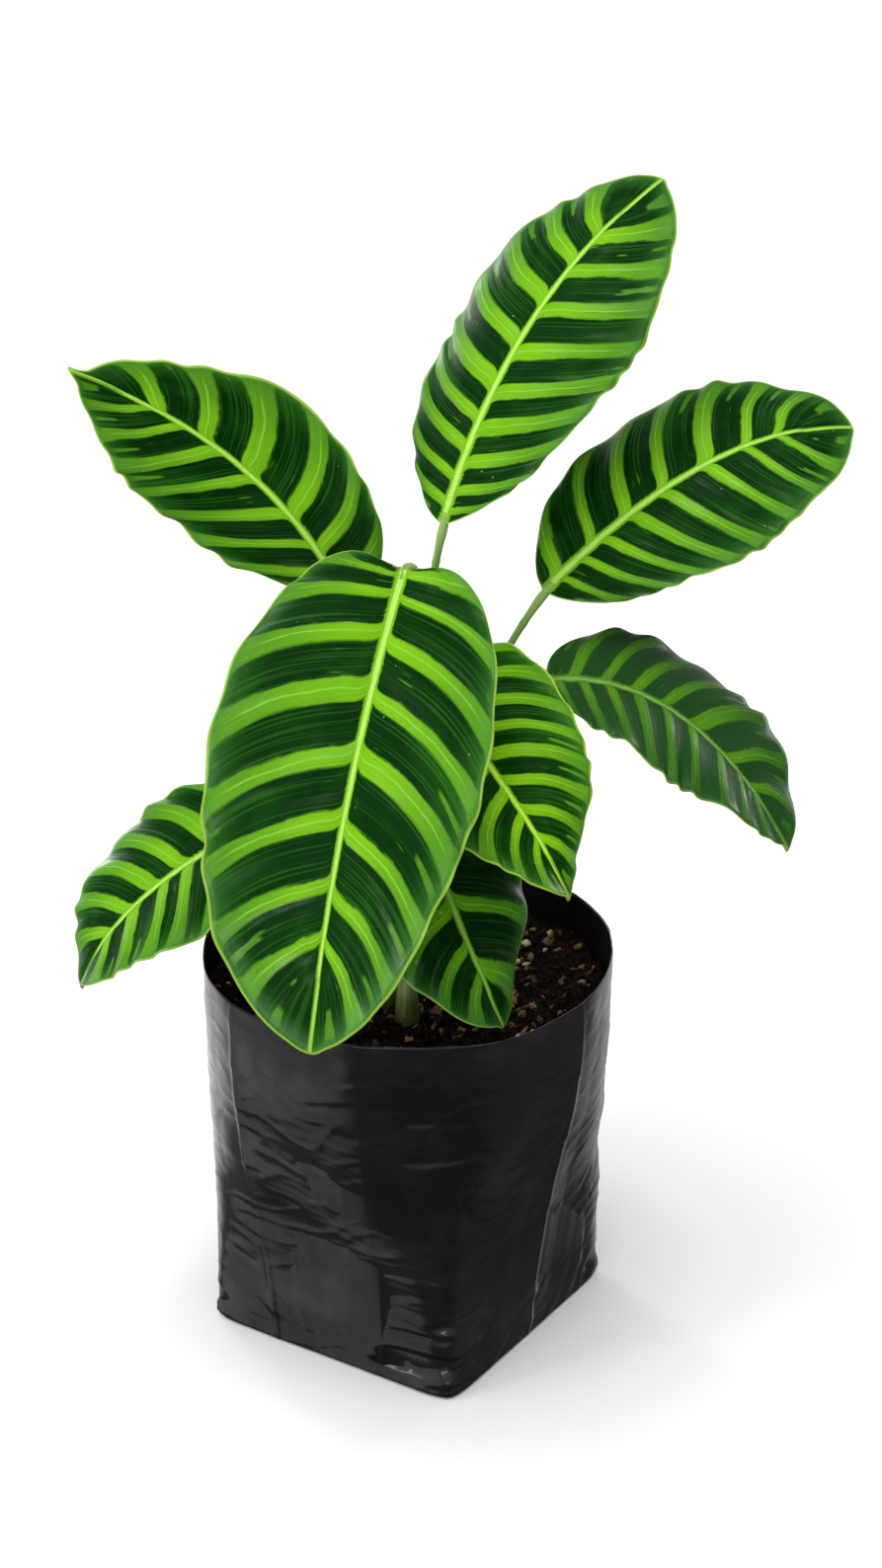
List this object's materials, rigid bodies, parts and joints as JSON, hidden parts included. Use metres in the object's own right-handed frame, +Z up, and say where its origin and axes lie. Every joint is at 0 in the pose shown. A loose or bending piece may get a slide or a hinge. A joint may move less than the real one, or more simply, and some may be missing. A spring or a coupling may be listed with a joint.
{
  "type": "potted calathea zebrina plant",
  "caption": "Zebra-striped prayer plant with broad waved leaves on arching stalks, standing in a square-bottomed black nursery grow bag filled with potting mix.",
  "frame": {"origin": "centre of the bag's flat base, on the surface that the plant stands on", "axes": "+Z up, -Y towards the front of the plant, where the largest leaf hangs over the rim, +X to the right seen from the front"},
  "size_m": [0.3727, 0.2889, 0.5489],
  "materials": {
    "bag_film": "black polyethylene film with soft wrinkles and a waxy gloss",
    "potting_mix": "dark crumbly potting mix with pale bark and perlite chips",
    "leaf_blade": "satin leaf, light green side-vein stripes on dark green, pale midrib, muted purplish underside",
    "leaf_stalk": "smooth ribbed green stalk, brownish sheath at the foot"
  },
  "bodies": {
    "root": {"bag": "bag_film", "soil": "potting_mix", "leaf_top": "leaf_blade", "leaf_upper_left": "leaf_blade", "leaf_upper_right": "leaf_blade", "leaf_right": "leaf_blade", "leaf_front": "leaf_blade", "leaf_centre": "leaf_blade", "leaf_low_centre": "leaf_blade", "leaf_low_left": "leaf_blade", "stalk_top": "leaf_stalk", "stalk_upper_left": "leaf_stalk", "stalk_upper_right": "leaf_stalk", "stalk_right": "leaf_stalk", "stalk_front": "leaf_stalk", "stalk_centre": "leaf_stalk", "stalk_low_centre": "leaf_stalk", "stalk_low_left": "leaf_stalk"}
  },
  "joints": []
}
